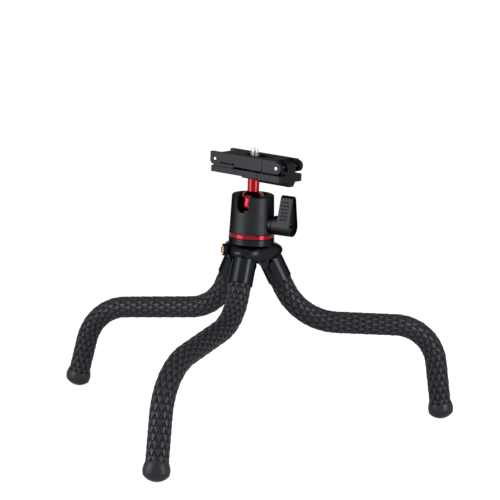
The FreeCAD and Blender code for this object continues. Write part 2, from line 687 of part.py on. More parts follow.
def make_clamp_base():
    """Fixed half of the clamp: tongue over the stem, spine, and the right end that carries the short arm."""
    plate = block(BASE_LEFT, CLAMP_RIGHT, -BASE_HALF, BASE_HALF, -BASE_THICK, -SLIDE_GAP)
    low = [e for e in plate.Edges if all(abs(v.Z + BASE_THICK) < 1e-6 for v in e.Vertexes)]
    plate = plate.makeChamfer(BASE_EDGE, low)
    for side in (-1, 1):
        corner = Part.makePolygon([
            Vector(BASE_LEFT, side * BASE_HALF, 0), Vector(BASE_LEFT + BASE_CORNER, side * BASE_HALF, 0),
            Vector(BASE_LEFT, side * (BASE_HALF - BASE_CORNER), 0), Vector(BASE_LEFT, side * BASE_HALF, 0),
        ])
        corner = Part.Face(corner).extrude(UP * (BASE_THICK * 3))
        plate = plate.cut(moved(corner, z=-BASE_THICK * 2))
    slab = block(SLIDER_END + SLIDE_GAP, CLAMP_RIGHT, -CLAMP_HALF, CLAMP_HALF, -SLIDE_GAP, BAR_HEIGHT)
    upright = [e for e in slab.Edges if all(abs(v.X - CLAMP_RIGHT) < 1e-6 for v in e.Vertexes)]
    slab = slab.makeChamfer(BASE_CHAMFER, [e for e in upright if abs(e.Vertexes[0].Z - e.Vertexes[1].Z) > 1])
    spine = block(BASE_LEFT, SLIDER_END + 1, -SPINE_HALF, SPINE_HALF, -SLIDE_GAP, SPINE_TOP)
    inner = block(SLIDER_END + SLIDE_GAP, BASE_BLOCK_END, -BLOCK_HALF, BLOCK_HALF, BAR_HEIGHT, BLOCK_TOP)
    root, foot = -BASE_THICK + BASE_EDGE, -KEEL_DEPTH
    keel = Part.makePolygon([
        Vector(KEEL_START, -KEEL_ROOT_HALF, root), Vector(KEEL_START, -KEEL_HALF, foot),
        Vector(KEEL_START, KEEL_HALF, foot), Vector(KEEL_START, KEEL_ROOT_HALF, root),
        Vector(KEEL_START, -KEEL_ROOT_HALF, root),
    ])
    keel = Part.Face(keel).extrude(Vector(CLAMP_RIGHT - KEEL_START, 0, 0))
    base = plate.fuse([slab, spine, inner, keel, pin_lug(SHORT_PIN_U, BASE_BLOCK_END - 1)])
    base = base.cut(cylinder(STUD_R, -BIG, STEM_BORE_TOP))
    base = base.cut(cylinder(SHANK_R + RUNNING, SHANK_END - SLIDE_GAP, BIG))
    slot_top = CLIP_RISE + CLIP_THICK + CLIP_GAP
    slot = block(-CLIP_R - 1, CLIP_R + 1, -SPINE_HALF, SPINE_HALF, CLIP_RISE - CLIP_GAP, slot_top)
    base = base.cut(slot)
    for side in (-1, 1):
        base = base.cut(moved(cylinder(ROD_R, 0, ROD_RIGHT, "x"), y=side * ROD_SIDE, z=ROD_RISE))
    node("clamp_base", clamp_place(base.removeSplitter()))


def make_slider():
    """Sliding half of the clamp: a fork that straddles the spine, and the left end that carries the long arm."""
    fork = block(CLAMP_LEFT, SLIDER_END, -CLAMP_HALF, CLAMP_HALF, 0, BAR_HEIGHT)
    upright = [e for e in fork.Edges if all(abs(v.X - CLAMP_LEFT) < 1e-6 for v in e.Vertexes)]
    fork = fork.makeChamfer(BASE_CHAMFER, [e for e in upright if abs(e.Vertexes[0].Z - e.Vertexes[1].Z) > 1])
    gap = SPINE_HALF + SLIDE_GAP
    fork = fork.cut(block(BASE_LEFT - SLIDE_GAP, BIG, -gap, gap, -1, BAR_HEIGHT + 1))
    inner = block(SLIDER_BLOCK_START, SLIDER_BLOCK_END, -BLOCK_HALF, BLOCK_HALF, BAR_HEIGHT, BLOCK_TOP)
    slider = fork.fuse([inner, pin_lug(LONG_PIN_U, SLIDER_BLOCK_START + 1)])
    for side in (-1, 1):
        bore = cylinder(ROD_R + RUNNING, SLIDER_END - GUIDE_LEN - 1, BIG, "x")
        bore = bore.fuse(cylinder(SPRING_BORE_R, ROD_LEFT - BORE_SPARE, SLIDER_END - GUIDE_LEN, "x"))
        slider = slider.cut(moved(bore, y=side * ROD_SIDE, z=ROD_RISE))
    node("clamp_slider", clamp_place(slider.removeSplitter()))


def make_slide_rods():
    rods, springs = [], []
    for side in (-1, 1):
        rod = cylinder(ROD_R, ROD_LEFT, ROD_RIGHT, "x").fuse(cylinder(ROD_HEAD_R, ROD_LEFT, ROD_LEFT + ROD_HEAD, "x"))
        rods.append(clamp_place(moved(rod.removeSplitter(), y=side * ROD_SIDE, z=ROD_RISE)))
        start = ROD_LEFT + ROD_HEAD + SPRING_END_GAP
        end = SLIDER_END - GUIDE_LEN - SPRING_END_GAP
        spring = cylinder(SPRING_R, start, end, "x").cut(cylinder(SPRING_HOLE_R, start, end, "x"))
        springs.append(clamp_place(moved(spring, y=side * ROD_SIDE, z=ROD_RISE)))
    node("guide_rods", *rods)
    node("return_springs", *springs)


def arm_body(pin_u, free_u, end_r):
    """Flat arm: a top plate between two side bars that end in a knuckle about the pin."""
    x0, x1 = sorted((pin_u, free_u))
    bars = both_sides(ARM_INNER, CLAMP_HALF, x0, x1, SPLIT_START, ARM_TOP)
    knuckle = cylinder(end_r, ARM_INNER, CLAMP_HALF, "y").fuse(cylinder(end_r, -CLAMP_HALF, -ARM_INNER, "y"))
    plate_u = pin_u - math.copysign(ARM_PLATE_SETBACK, pin_u)
    p0, p1 = sorted((plate_u, free_u))
    plate = block(p0, p1, -ARM_INNER, ARM_INNER, ARM_TOP - ARM_PLATE, ARM_TOP)
    corner = block(pin_u - end_r, pin_u, -BIG, BIG, ARM_PIN_RISE, BIG)
    if pin_u > 0:
        corner = block(pin_u, pin_u + end_r, -BIG, BIG, ARM_PIN_RISE, BIG)
    arm = bars.fuse([moved(knuckle, x=pin_u, z=ARM_PIN_RISE), plate]).cut(corner.cut(
        moved(cylinder(end_r, -BIG, BIG, "y"), x=pin_u, z=ARM_PIN_RISE)))
    # below the pin the free end is rounded, so that it clears the other arm as it folds
    reach = cylinder(abs(free_u - pin_u), -BIG, BIG, "y")
    low = block(*sorted((0, math.copysign(BIG, free_u - pin_u))), -BIG, BIG, -BIG, 0)
    arm = arm.cut(moved(low.cut(reach), x=pin_u, z=ARM_PIN_RISE))
    return arm.cut(moved(cylinder(ARM_PIN_R + RUNNING, -BIG, BIG, "y"), x=pin_u, z=ARM_PIN_RISE))


def square_arm_end():
    """Squared ends of the long arm's side bars, cut away below so that they clear the slider as the arm folds."""
    end = both_sides(ARM_INNER, CLAMP_HALF, CLAMP_LEFT, LONG_PIN_U, SPLIT_START, ARM_TOP)
    cut = block(-BIG, ARM_END_CHAMFER / math.sqrt(2), -BIG, BIG, -BIG, BIG)
    cut = moved(turned(cut, Vector(0, 0, 0), Vector(0, 1, 0), -45), x=CLAMP_LEFT, z=SPLIT_START)
    end = end.cut(cut)
    return end.cut(moved(cylinder(ARM_PIN_R + RUNNING, -BIG, BIG, "y"), x=LONG_PIN_U, z=ARM_PIN_RISE))


def arm_pin(pin_u):
    return clamp_place(moved(cylinder(ARM_PIN_R, -CLAMP_HALF, CLAMP_HALF, "y"), x=pin_u, z=ARM_PIN_RISE))


def make_arms():
    long_free = ARM_SPLIT - ARM_SPLIT_GAP / 2
    short_free = ARM_SPLIT + ARM_SPLIT_GAP / 2
    pad_low = ARM_TOP - ARM_PLATE - PAD_THICK
    pad_top = ARM_TOP - ARM_PLATE
    long_arm = arm_body(LONG_PIN_U, long_free, LONG_PIN_U - CLAMP_LEFT).fuse(square_arm_end())
    # open slot that lets the arm slide past the camera screw
    window = cylinder(ARM_WINDOW_R, 0, BIG).fuse(block(0, BIG, -ARM_WINDOW_R, ARM_WINDOW_R, 0, BIG))
    long_arm = long_arm.cut(window)
    slit = block(SLIT_START, SLIT_END, -BIG, -ARM_INNER, SLIT_RISE - SLIT_HALF, SLIT_RISE + SLIT_HALF)
    for u in (SLIT_START, SLIT_END):
        slit = slit.fuse(moved(cylinder(SLIT_HALF * 2, -BIG, -ARM_INNER, "y"), x=u, z=SLIT_RISE))
    tab = block(TAB_START, SLIT_END, -CLAMP_HALF, -ARM_INNER, BAR_HEIGHT + SLIDE_GAP, SPLIT_START)
    long_arm = long_arm.fuse(tab).cut(slit)
    node("long_arm", clamp_place(long_arm.removeSplitter()))
    long_pad = block(SLIDER_BLOCK_START + 1, long_free - PAD_MARGIN, -PAD_HALF, PAD_HALF, pad_low, pad_top)
    node("long_arm_pad", clamp_place(long_pad.cut(window)))
    short_arm = arm_body(SHORT_PIN_U, short_free, CLAMP_RIGHT - SHORT_PIN_U)
    node("short_arm", clamp_place(short_arm.removeSplitter()))
    pad_end = SHORT_PIN_U - ARM_PLATE_SETBACK
    short_pad = block(short_free + PAD_MARGIN, pad_end, -PAD_HALF, PAD_HALF, pad_low, pad_top)
    node("short_arm_pad", clamp_place(short_pad))
    node("long_arm_pin", arm_pin(LONG_PIN_U))
    node("short_arm_pin", arm_pin(SHORT_PIN_U))


def make_camera_screw():
    wheel_low = SPINE_TOP + WHEEL_GAP
    wheel = cylinder(WHEEL_R, wheel_low, wheel_low + WHEEL_THICK)
    for k in range(WHEEL_FLUTES):
        flute = moved(cylinder(WHEEL_FLUTE_R, 0, BIG), x=WHEEL_R)
        wheel = wheel.cut(turned(flute, Vector(0, 0, 0), UP, 360.0 * k / WHEEL_FLUTES))
    tip = ARM_TOP + THREAD_LEN
    shank = round_body([
        (0, SHANK_END), (SHANK_R, SHANK_END), (SHANK_R, CLIP_RISE), (CLIP_GROOVE_R, CLIP_RISE),
        (CLIP_GROOVE_R, CLIP_RISE + CLIP_THICK), (SHANK_R, CLIP_RISE + CLIP_THICK),
        (SHANK_R, ARM_TOP), (THREAD_R, ARM_TOP), (THREAD_R, tip), (THREAD_R - THREAD_TIP, tip + THREAD_TIP),
        (0, tip + THREAD_TIP),
    ])
    node("camera_screw", clamp_place(wheel.fuse(shank).removeSplitter()))
    clip = cylinder(CLIP_R, CLIP_RISE, CLIP_RISE + CLIP_THICK)
    clip = clip.cut(cylinder(CLIP_GROOVE_R, CLIP_RISE, CLIP_RISE + CLIP_THICK))
    opening = block(0, BIG, -CLIP_GROOVE_R * 0.8, CLIP_GROOVE_R * 0.8, 0, BIG)
    node("screw_clip", clamp_place(clip.cut(opening)))


def build():
    make_hub()
    make_hub_fittings()
    for side in LEG_AZ:
        make_leg(side)
    make_head_base()
    make_housing()
    make_ball_lock()
    make_ball()
    make_knob()
    make_clamp_base()
    make_slider()
    make_slide_rods()
    make_arms()
    make_camera_screw()


def footprint_middle():
    """Middle of the whole tripod's plan and its lowest point."""
    everything = Part.makeCompound([s for solids in NODES.values() for s in solids])
    box = everything.optimalBoundingBox(False)
    return Vector(box.Center.x, box.Center.y, box.ZMin)


def export():
    os.makedirs("parts", exist_ok=True)
    shift = footprint_middle() * -1
    for name, solids in NODES.items():
        shape = solids[0] if len(solids) == 1 else Part.makeCompound(solids)
        shape = shape.copy()
        shape.translate(shift)
        shape.exportStep(f"parts/{name}.step")
    return shift


if __name__ == "__main__":
    build()
    export()
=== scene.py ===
import json
import math

import bmesh
import bpy
from mathutils import Matrix, Vector


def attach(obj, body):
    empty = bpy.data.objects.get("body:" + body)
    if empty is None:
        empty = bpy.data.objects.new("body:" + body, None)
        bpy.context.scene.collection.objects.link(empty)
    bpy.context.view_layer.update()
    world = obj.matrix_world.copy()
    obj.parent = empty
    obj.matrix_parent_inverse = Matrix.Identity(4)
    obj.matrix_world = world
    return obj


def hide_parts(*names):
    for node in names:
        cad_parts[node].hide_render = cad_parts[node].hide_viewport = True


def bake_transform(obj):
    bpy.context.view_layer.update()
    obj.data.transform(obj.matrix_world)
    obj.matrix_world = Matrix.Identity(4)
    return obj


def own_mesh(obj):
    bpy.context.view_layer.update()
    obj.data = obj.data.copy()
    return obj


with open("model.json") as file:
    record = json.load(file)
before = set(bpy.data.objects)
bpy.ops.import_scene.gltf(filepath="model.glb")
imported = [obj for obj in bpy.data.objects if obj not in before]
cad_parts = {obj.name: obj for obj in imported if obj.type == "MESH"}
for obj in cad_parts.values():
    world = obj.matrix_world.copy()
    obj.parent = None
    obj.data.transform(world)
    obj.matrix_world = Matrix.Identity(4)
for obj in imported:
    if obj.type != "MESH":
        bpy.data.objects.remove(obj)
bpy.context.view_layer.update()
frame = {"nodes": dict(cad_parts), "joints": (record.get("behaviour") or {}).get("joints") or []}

bl_info = {
    "name": "Flexible-leg tripod",
    "version": (1, 0, 0),
    "blender": (4, 5, 0),
    "location": "View3D > Sidebar > Tripod",
    "description": "Dresses the tripod: embossed sleeves, core wires, screw thread, springs, finishes",
    "category": "Object",
}

MM = 0.001
UP = Vector((0, 0, 1))
JOINTS = {entry["name"]: entry for entry in frame["joints"]}
HEAD_TURN_AT = Vector(JOINTS["head_turn"]["pos_m"])

# legs, in millimetres

LEGS = {
    "left": {"first": 29.0, "bends": (42.0, 44.0), "run": 61.0},
    "middle": {"first": 27.0, "bends": (40.0, 62.0), "run": 50.0},
    "right": {"first": 26.0, "bends": (52.0, 37.0), "run": 47.0},
}
LEG_LENGTH = 224.0  # along the centre line, from the cuff to the tip of the foot
CUFF_OFFSET = 6.6  # from the fold's pin out to the centre line
SLEEVE_START = 6.5  # along the centre line, inside the cuff's socket
SLEEVE_R = 8.5
WIRE_R = 3.0
FOOT_FLOOR = 6.5  # thickness of the foot under the sleeve
WIRE_END_GAP = 2.0
WIRE_SIDES = 16
WIRE_STEP = 3.0
WELD_GAP = 1e-6  # in metres

# embossing of the sleeves
# widths are shares of the scales' spacing round the leg, spans are shares of a scale's length,
# and levels, lift and fall are shares of the relief

POINTS_PER_SCALE = 20
POINTS_PER_ROW = 14
ROWS_PER_SCALE = 2
SCALE_RISE = 0.2  # in millimetres, above the plain sleeve
NECK_HALF = 0.11
BODY_HALF = 0.52
BODY_TAPER = 0.34
SHOULDER_SPAN = (0.45, 0.60)
TAPER_SPAN = (0.5, 1.0)
SIDE_WIDTH = 0.08
NECK_LEVEL = 0.62
END_LIFT = 0.38
LIFT_SPAN = (0.3, 0.9)
END_SPAN = (0.92, 1.0)
SIDE_FALL = 0.4


def length(name, default, text):
    return bpy.props.FloatProperty(name=name, description=text, default=default, min=0.0,
                                   unit="LENGTH")


def power(name, default, text):
    return bpy.props.FloatProperty(name=name, description=text, default=default, min=0.0,
                                   unit="POWER")


def colour(name, default, text):
    return bpy.props.FloatVectorProperty(name=name, description=text, default=default, size=3,
                                         min=0.0, max=1.0, subtype="COLOR")


def count(name, default, least, text):
    return bpy.props.IntProperty(name=name, description=text, default=default, min=least)


class SleeveSettings(bpy.types.PropertyGroup):
    columns: count("Scales around", 11, 6, "Scales in one ring of the sleeve")
    row: length("Row length", 5.3 * MM, "Distance from one ring of scales to the next")
    relief: length("Relief", 0.75 * MM, "Depth of the hollows beside the scales' free ends")
    tint: colour("Rubber", (0.036, 0.038, 0.043), "Colour of the raised rubber")
    # painted shade: a darker colour given to the hollows between the scales and the scales' necks,
    # where shade falls
    hollow_shade: colour("Hollows", (0.008, 0.008, 0.010), "Colour in the hollows between the scales")


class FittingSettings(bpy.types.PropertyGroup):
    thread_pitch: length("Thread pitch", 1.27 * MM, "Pitch of the camera screw's thread")
    thread_depth: length("Thread depth", 0.62 * MM, "Depth of the camera screw's thread")
    spring_wire: length("Spring wire", 0.42 * MM, "Thickness of the return springs' wire")
    spring_turns: count("Spring turns", 22, 4, "Turns of each return spring")


class FinishSettings(bpy.types.PropertyGroup):
    red: colour("Red anodising", (0.20, 0.001, 0.006), "Ball, stem and base ring")
    black_metal: colour("Black anodising", (0.021, 0.022, 0.024), "Housing, knob, clamp and arms")
    black_gloss: colour("Glossy black", (0.0155, 0.0165, 0.020), "Hub and cuffs")
    foot: colour("Foot rubber", (0.028, 0.029, 0.032), "Rubber feet")
    steel: colour("Steel", (0.60, 0.60, 0.61), "Camera screw, stud, clip, springs, rods and arm pins")
    brass: colour("Brass", (0.80, 0.58, 0.28), "Side insert and lock wedge")


class StageSettings(bpy.types.PropertyGroup):
    floor: length("Floor size", 60.0, "Side of the floor")
    key: power("Key lamp", 5.4, "Power of the tall left lamp")
    fill: power("Fill lamp", 4.8, "Power of the tall right lamp")
    top: power("Top lamp", 0.6, "Power of the lamp overhead")


# leg routes


def leg_route(side):
    """Stretches of a leg's centre line from its cuff down to the foot, and where it starts."""
    fold = JOINTS[f"{side}_leg_fold"]
    outward = UP.cross(Vector(fold["axis"]))
    splay = math.radians(-fold["range_deg"][0])
    way = outward * math.sin(splay) - UP * math.cos(splay)
    face = outward * math.cos(splay) + UP * math.sin(splay)
    place = Vector(fold["pos_m"]) + face * (CUFF_OFFSET * MM)
    data = LEGS[side]
    stretches = []
    used = 0.0
    straights = (data["first"] * MM, data["run"] * MM)
    for k, name in enumerate(("upper", "lower")):
        bend = JOINTS[f"{side}_bend_{name}"]
        turn = math.radians(-bend["range_deg"][0])
        radius = data["bends"][k] * MM
        stretches.append(("straight", straights[k]))
        stretches.append(("bend", radius * turn, radius, Vector(bend["axis"])))
        used += straights[k] + radius * turn
    stretches.append(("straight", LEG_LENGTH * MM - used))
    return {"place": place, "way": way, "face": face, "stretches": stretches}


def follow(route, distance):
    """Place, direction and face of the centre line at a distance along it."""
    place, way, face = route["place"].copy(), route["way"].copy(), route["face"].copy()
    left = distance
    for k, stretch in enumerate(route["stretches"]):
        last = k == len(route["stretches"]) - 1
        step = left if last else min(left, stretch[1])
        if stretch[0] == "straight":
            place = place + way * step
        elif step > 0:
            radius, axis = stretch[2], stretch[3]
            centre = place + axis.cross(way) * radius
            turn = Matrix.Rotation(step / radius, 3, axis)
            place = centre + turn @ (place - centre)
            way, face = turn @ way, turn @ face
        left -= step
        if left <= 0:
            break
    return place, way, face


def station(route, stretches):
    """Distance at which the first few stretches of a route end."""
    return sum(stretch[1] for stretch in route["stretches"][:stretches])


def run_middle(route):
    """Distance to the middle of the straight run between the two bends."""
    return (station(route, 2) + station(route, 3)) / 2


def bend_ends(route, bend):
    """Places where the stretch of a bend starts and ends."""
    return follow(route, station(route, bend))[0], follow(route, station(route, bend + 1))[0]


def leg_halves(side, start, middle, end):
    """Start, stop, the bend's place among the stretches and the two bodies, for each half."""
    return {
        "upper": (start, middle, 1, f"leg_{side}", f"leg_{side}_run"),
        "lower": (middle, end, 3, f"leg_{side}_run", f"leg_{side}_end"),
    }


# shaping


def new_piece(name, bm, smooth=True):
    """Finish a bmesh as an object at the origin."""
    bmesh.ops.recalc_face_normals(bm, faces=bm.faces)
    for face in bm.faces:
        face.smooth = smooth
    mesh = bpy.data.meshes.new(name)
    bm.to_mesh(mesh)
    bm.free()
    piece = bpy.data.objects.new(name, mesh)
    bpy.context.scene.collection.objects.link(piece)
    return piece


def close_ends(bm):
    """Fill every open end of a bmesh."""
    edges = [edge for edge in bm.edges if edge.is_boundary]
    if edges:
        bmesh.ops.holes_fill(bm, edges=edges, sides=0)


def add_bmesh(target, source):
    """Put the shape of one bmesh into another, and free the first."""
    mesh = bpy.data.meshes.new("source")
    source.to_mesh(mesh)
    source.free()
    target.from_mesh(mesh)
    bpy.data.meshes.remove(mesh)


def wrap_leg(name, route, start, end, around, step, surface):
    """Wrap a closed grid round part of a leg.

    surface gives the radius and the relief for a share of the turn and a distance.
    """
    along = max(2, round((end - start) / step))
    bm = bmesh.new()
    relief = bm.verts.layers.float.new("relief")
    bmesh.ops.create_grid(bm, x_segments=around, y_segments=along, size=0.5)
    rings = {}
    for vert in bm.verts:
        share = vert.co.x + 0.5
        ring = round((vert.co.y + 0.5) * along)
        distance = start + ring / along * (end - start)
        if ring not in rings:
            place, way, face = follow(route, distance)
            rings[ring] = (place, face, way.cross(face))
        place, face, beside = rings[ring]
        radius, vert[relief] = surface(share % 1.0, distance)
        angle = math.tau * share
        vert.co = place + (face * math.cos(angle) + beside * math.sin(angle)) * radius
    bmesh.ops.remove_doubles(bm, verts=bm.verts, dist=WELD_GAP)
    close_ends(bm)
    return new_piece(name, bm)


def ease(low, high, value):
    """Smooth step from 0 to 1 between two values."""
    share = min(1.0, max(0.0, (value - low) / (high - low)))
    return share * share * (3 - 2 * share)


def scale_half(part):
    """Half width of a scale along its length: a narrow neck, then a body that tapers."""
    body = BODY_HALF - BODY_TAPER * ease(*TAPER_SPAN, part)
    return NECK_HALF + (body - NECK_HALF) * ease(*SHOULDER_SPAN, part)


def scale_height(share, distance, settings):
    """Height of the lapped scales, from 0 in the hollows to 1, free ends towards the foot."""
    height = 0.0
    for ring in range(ROWS_PER_SCALE):
        across = share * settings.columns + ring / ROWS_PER_SCALE
        off = abs(across - round(across))
        turn = (distance / settings.row + ring) / ROWS_PER_SCALE
        part = turn - math.floor(turn)
        side = ease(0.0, SIDE_WIDTH, scale_half(part) - off)
        lift = END_LIFT * ease(*LIFT_SPAN, part) * (1.0 - ease(*END_SPAN, part))
        height = max(height, (NECK_LEVEL + lift - SIDE_FALL * off) * side)
    return min(1.0, height)


# finishes

MOTTLE_SCALE = 70.0
MOTTLE_DETAIL = 5.0
MOTTLE_RANGE = (0.3, 0.7)  # values of the slow noise that the changes of gloss span
GRAIN_DETAIL = 3.0
GRAIN_STRENGTH = 0.6
COAT_ROUGHNESS = 0.12
HOLLOW_SHADE_RANGE = (0.25, 0.95)  # relief over which the painted shade of the hollows gives way to the tint
RIB_SCALE = 160.0
RIB_DEPTH = 0.4  # in millimetres
CORE_ALLOY = (0.72, 0.72, 0.74)
DARK_STEEL = (0.02, 0.02, 0.022)
SEAT_PLASTIC = (0.8, 0.8, 0.78)
PAD_RUBBER = (0.016, 0.017, 0.019)
LEG_RUBBER = {"metallic": 0.45, "shine": 0.15, "rim": 0.3}


def set_inputs(node, values):
    for socket, value in values.items():
        node.inputs[socket].default_value = value


def node_of(material, kind):
    """First node of a kind in a material."""
    return next(node for node in material.node_tree.nodes if node.bl_idname == kind)


def noise(material, where, scale, detail):
    """Noise on the piece's own coordinates."""
    texture = material.node_tree.nodes.new("ShaderNodeTexNoise")
    set_inputs(texture, {"Scale": scale, "Detail": detail})
    material.node_tree.links.new(where.outputs["Object"], texture.inputs["Vector"])
    return texture.outputs["Fac"]


def finish(name, tint, metallic, roughness, spread=0.06, grain=900.0, depth=0.02, coat=0.0,
           mottle=0.12, shine=0.5, rim=1.0):
    """Procedural finish with a fine grain, and slow changes of colour and gloss."""
    material = bpy.data.materials.new(name)
    material.use_nodes = True
    nodes, links = material.node_tree.nodes, material.node_tree.links
    shader = nodes["Principled BSDF"]
    set_inputs(shader, {
        "Metallic": metallic,
        "Specular IOR Level": shine,
        "Specular Tint": (rim, rim, rim, 1),
        "Coat Weight": coat,
        "Coat Roughness": COAT_ROUGHNESS,
    })
    where = nodes.new("ShaderNodeTexCoord")
    slow = noise(material, where, MOTTLE_SCALE, MOTTLE_DETAIL)
    mix = nodes.new("ShaderNodeMix")
    mix.data_type = "RGBA"
    mix.inputs["A"].default_value = (*[c * (1 - mottle) for c in tint], 1)
    mix.inputs["B"].default_value = (*[min(1.0, c * (1 + mottle)) for c in tint], 1)
    links.new(slow, mix.inputs["Factor"])
    links.new(mix.outputs["Result"], shader.inputs["Base Color"])
    gloss = nodes.new("ShaderNodeMapRange")
    set_inputs(gloss, {
        "From Min": MOTTLE_RANGE[0],
        "From Max": MOTTLE_RANGE[1],
        "To Min": roughness - spread,
        "To Max": roughness + spread,
    })
    links.new(slow, gloss.inputs["Value"])
    links.new(gloss.outputs["Result"], shader.inputs["Roughness"])
    fine = noise(material, where, grain, GRAIN_DETAIL)
    bump = nodes.new("ShaderNodeBump")
    set_inputs(bump, {"Strength": GRAIN_STRENGTH, "Distance": depth * MM})
    links.new(fine, bump.inputs["Height"])
    links.new(bump.outputs["Normal"], shader.inputs["Normal"])
    return material


def scaled_rubber(settings):
    """Rubber of the leg sleeves with painted shade: darker where the relief is low, in the hollows and
    at the scales' necks.
    """
    material = finish("sleeve_rubber", settings.tint, roughness=0.37, spread=0.05, grain=1500.0,
                      mottle=0.15, **LEG_RUBBER)
    nodes, links = material.node_tree.nodes, material.node_tree.links
    raised = node_of(material, "ShaderNodeMix")
    height = nodes.new("ShaderNodeAttribute")
    height.attribute_name = "relief"
    ramp = nodes.new("ShaderNodeMapRange")
    set_inputs(ramp, {"From Min": HOLLOW_SHADE_RANGE[0], "From Max": HOLLOW_SHADE_RANGE[1]})
    links.new(height.outputs["Fac"], ramp.inputs["Value"])
    # painted shade: the hollows' darker colour is mixed in where the relief is low
    dark = nodes.new("ShaderNodeMix")
    dark.data_type = "RGBA"
    dark.inputs["A"].default_value = (*settings.hollow_shade, 1)
    links.new(ramp.outputs["Result"], dark.inputs["Factor"])
    links.new(raised.outputs["Result"], dark.inputs["B"])
    links.new(dark.outputs["Result"], nodes["Principled BSDF"].inputs["Base Color"])
    return material


def ribbed_rubber(tint):
    """Pad rubber with fine ribs across the clamp."""
    material = finish("pad_rubber", tint, metallic=0.0, roughness=0.6, spread=0.05,
                      grain=1200.0, depth=0.04)
    nodes, links = material.node_tree.nodes, material.node_tree.links
    where = node_of(material, "ShaderNodeTexCoord")
    fine = node_of(material, "ShaderNodeBump")
    turned = nodes.new("ShaderNodeMapping")
    turned.inputs["Rotation"].default_value = (0, 0, -math.atan2(ALONG_CLAMP.y, ALONG_CLAMP.x))
    ribs = nodes.new("ShaderNodeTexWave")
    ribs.inputs["Scale"].default_value = RIB_SCALE
    links.new(where.outputs["Object"], turned.inputs["Vector"])
    links.new(turned.outputs["Vector"], ribs.inputs["Vector"])
    bump = nodes.new("ShaderNodeBump")
    bump.inputs["Distance"].default_value = RIB_DEPTH * MM
    links.new(ribs.outputs["Fac"], bump.inputs["Height"])
    links.new(fine.outputs["Normal"], bump.inputs["Normal"])
    links.new(bump.outputs["Normal"], nodes["Principled BSDF"].inputs["Normal"])
    return material


def brushed(name, tint, roughness):
    """Bare metal with a fine grain."""
    return finish(name, tint, metallic=1.0, roughness=roughness, spread=0.07, grain=2500.0,
                  depth=0.01, mottle=0.05)


def paint(obj, material):
    obj.data.materials.clear()
    obj.data.materials.append(material)


# legs


class TRIPOD_OT_leg_sleeves(bpy.types.Operator):
    """Wrap the embossed rubber sleeves round the three legs"""
    bl_idname = "tripod.leg_sleeves"
    bl_label = "Leg sleeves"

    def execute(self, context):
        settings = context.scene.tripod_sleeves
        rubber = scaled_rubber(settings)
        around = settings.columns * POINTS_PER_SCALE
        step = settings.row / POINTS_PER_ROW
        outer = (SLEEVE_R + SCALE_RISE) * MM
        deep = settings.relief

        def surface(share, distance):
            height = scale_height(share, distance, settings)
            return outer - deep * (1.0 - height), height

        for side in LEGS:
            route = leg_route(side)
            middle = settings.row * round(run_middle(route) / settings.row)
            end = station(route, 5) - FOOT_FLOOR * MM
            halves = leg_halves(side, SLEEVE_START * MM, middle, end)
            for half, (start, stop, bend, body_a, body_b) in halves.items():
                piece = wrap_leg(f"{side}_{half}_sleeve", route, start, stop, around, step, surface)
                paint(piece, rubber)
                if half == "upper":
                    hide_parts(f"leg_{side}_upper_sleeve", f"leg_{side}_bend_sleeves")
                else:
                    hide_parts(f"leg_{side}_middle_sleeve", f"leg_{side}_lower_sleeve")
                bend_start, bend_end = bend_ends(route, bend)
                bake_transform(piece)
        return {"FINISHED"}


class TRIPOD_OT_core_wires(bpy.types.Operator):
    """Run the bendable core wires through the three legs"""
    bl_idname = "tripod.core_wires"
    bl_label = "Core wires"

    def execute(self, context):
        alloy = brushed("core_alloy", CORE_ALLOY, roughness=0.45)

        def surface(share, distance):
            return WIRE_R * MM, 1.0

        for side in LEGS:
            route = leg_route(side)
            end = station(route, 5) - (FOOT_FLOOR + WIRE_END_GAP) * MM
            halves = leg_halves(side, 0.0, run_middle(route), end)
            for half, (start, stop, bend, body_a, body_b) in halves.items():
                piece = wrap_leg(f"{side}_{half}_wire", route, start, stop, WIRE_SIDES,
                                 WIRE_STEP * MM, surface)
                paint(piece, alloy)
                if half == "upper":
                    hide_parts(f"leg_{side}_upper_core", f"leg_{side}_middle_core")
                else:
                    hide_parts(f"leg_{side}_lower_core")
                bend_start, bend_end = bend_ends(route, bend)
                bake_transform(piece)
        return {"FINISHED"}


# camera screw, in millimetres from its joint's point

SCREW_AT = Vector(JOINTS["camera_screw_turn"]["pos_m"])
SCREW_SIDES = 96
SHANK_END = 4.2
SHANK_R = 2.9
SHANK_CHAMFER = 0.2
GROOVE_R = 2.4
GROOVE_LOW = 4.9
GROOVE_HIGH = 5.5
WHEEL_LOW = 7.2
WHEEL_THICK = 3.0
WHEEL_R = 9.2
WHEEL_CONE = 0.05  # rise of the wheel's underside towards the shank
WHEEL_CHAMFER = 0.4
WHEEL_LAND = 1.6  # from the rim in to the edge of the flat ring
DISH_EDGE = 2.0  # from the rim in to the edge of the dish's floor
DISH_DEPTH = 0.3
BOSS_FOOT = 1.2  # how far the boss in the dish stands out from the shank, at its foot
BOSS_TOP = 0.9
RIM_BAND = 0.05  # how near to the rim's radius a point belongs to the rim
FLUTES = 24
FLUTE_DEPTH = 0.45
FACE = 15.5
ROOT_CHAMFER = 0.3
THREAD_LENGTH = 4.8
THREAD_R = 3.175
THREAD_TIP = 0.4
TIP_CHAMFER = 0.35
THREAD_SINK = 0.1  # how far the ridge's foot sinks into the screw's core
THREAD_STEPS = 24
THREAD_FOOT = 0.44  # half width of the ridge at its foot, as a share of the pitch
THREAD_CREST = 0.06
FINE_WELD_GAP = 1e-7  # in metres


